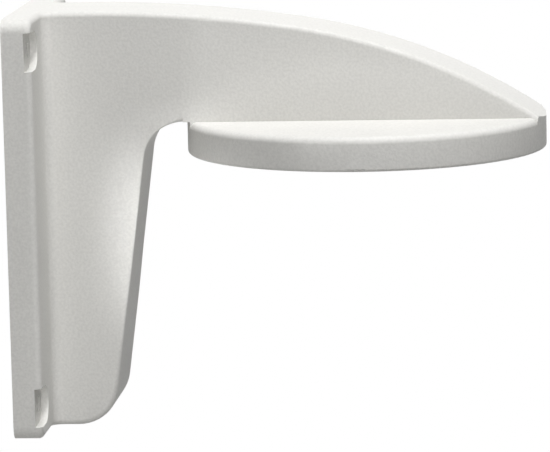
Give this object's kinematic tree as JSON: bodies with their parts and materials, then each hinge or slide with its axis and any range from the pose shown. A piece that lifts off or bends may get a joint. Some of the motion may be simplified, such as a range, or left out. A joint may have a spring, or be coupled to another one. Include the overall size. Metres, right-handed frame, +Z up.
{
  "type": "camera wall bracket",
  "caption": "Moulded wall bracket: a wall plate and a hollow curved arm that carry a round disc for a small dome camera.",
  "frame": {"origin": "centre of the wall screw pattern, on the wall plane", "axes": "+X away from the wall along the arm, +Z up, +Y along the wall"},
  "size_m": [0.179, 0.122, 0.142],
  "materials": {
    "body": "satin"
  },
  "bodies": {
    "root": {"bracket_body": "body"}
  },
  "joints": []
}
